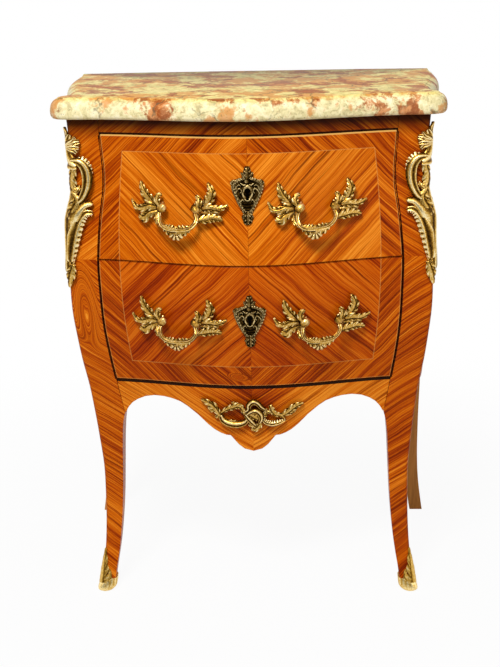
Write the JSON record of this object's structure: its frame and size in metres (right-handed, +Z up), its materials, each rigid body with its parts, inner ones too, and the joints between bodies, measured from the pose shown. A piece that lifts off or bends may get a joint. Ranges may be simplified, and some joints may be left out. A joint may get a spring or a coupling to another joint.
{
  "type": "commode chest",
  "caption": "Small bombé commode with drawers, a moulded marble top, cabriole legs and gilt bronze mounts; the drawers slide out on runners and lock by rising bolts.",
  "frame": {"origin": "on the floor, under the middle of the overall box", "axes": "+Z up, the drawers' fronts face -Y, +X towards the chest's right as the picture shows it"},
  "size_m": [0.618, 0.4174, 0.82],
  "materials": {
    "veneer": "glossy polished veneer",
    "carcass": "bare matt wood",
    "leg_wood": "dull brown stain",
    "marble": "opaque polished marble",
    "gilt_bronze": "gilt, darker in the hollows",
    "dark_bronze": "dark patina",
    "steel": "dull"
  },
  "bodies": {
    "root": {"marble_top": "marble", "front_left_leg": "veneer", "front_right_leg": "veneer", "back_left_leg": "leg_wood", "back_right_leg": "leg_wood", "left_side_panel": "veneer", "right_side_panel": "veneer", "front_top_rail": "veneer", "front_apron": "veneer", "mid_rail": "carcass", "top_board": "carcass", "dust_board": "carcass", "bottom_board": "carcass", "back_top_rail": "carcass", "back_bottom_rail": "carcass", "back_panel": "carcass", "left_corner_mount": "gilt_bronze", "right_corner_mount": "gilt_bronze", "apron_mount": "gilt_bronze", "left_shoe": "gilt_bronze", "right_shoe": "gilt_bronze", "upper_left_runner": "carcass", "upper_right_runner": "carcass", "upper_left_stop": "carcass", "upper_right_stop": "carcass", "lower_left_runner": "carcass", "lower_right_runner": "carcass", "lower_left_stop": "carcass", "lower_right_stop": "carcass"},
    "upper_drawer": {"upper_drawer_front": "veneer", "upper_drawer_left_side": "carcass", "upper_drawer_right_side": "carcass", "upper_drawer_back": "carcass", "upper_drawer_bottom": "carcass", "upper_left_handle": "gilt_bronze", "upper_left_handle_left_nut": "steel", "upper_left_handle_right_nut": "steel", "upper_right_handle": "gilt_bronze", "upper_right_handle_left_nut": "steel", "upper_right_handle_right_nut": "steel", "upper_escutcheon": "dark_bronze", "upper_lock_case": "steel"},
    "upper_lock_bolt": {"upper_lock_bolt": "steel"},
    "lower_drawer": {"lower_drawer_front": "veneer", "lower_drawer_left_side": "carcass", "lower_drawer_right_side": "carcass", "lower_drawer_back": "carcass", "lower_drawer_bottom": "carcass", "lower_left_handle": "gilt_bronze", "lower_left_handle_left_nut": "steel", "lower_left_handle_right_nut": "steel", "lower_right_handle": "gilt_bronze", "lower_right_handle_left_nut": "steel", "lower_right_handle_right_nut": "steel", "lower_escutcheon": "dark_bronze", "lower_lock_case": "steel"},
    "lower_lock_bolt": {"lower_lock_bolt": "steel"}
  },
  "joints": [
    {"name": "upper_drawer_slide", "type": "slide", "parent": "root", "child": "upper_drawer", "axis": [0, -1, 0], "range_m": [0, 0.25]},
    {"name": "upper_lock_bolt_slide", "type": "slide", "parent": "upper_drawer", "child": "upper_lock_bolt", "axis": [0, 0, 1], "range_m": [0, 0.008]},
    {"name": "lower_drawer_slide", "type": "slide", "parent": "root", "child": "lower_drawer", "axis": [0, -1, 0], "range_m": [0, 0.25]},
    {"name": "lower_lock_bolt_slide", "type": "slide", "parent": "lower_drawer", "child": "lower_lock_bolt", "axis": [0, 0, 1], "range_m": [0, 0.008]}
  ]
}
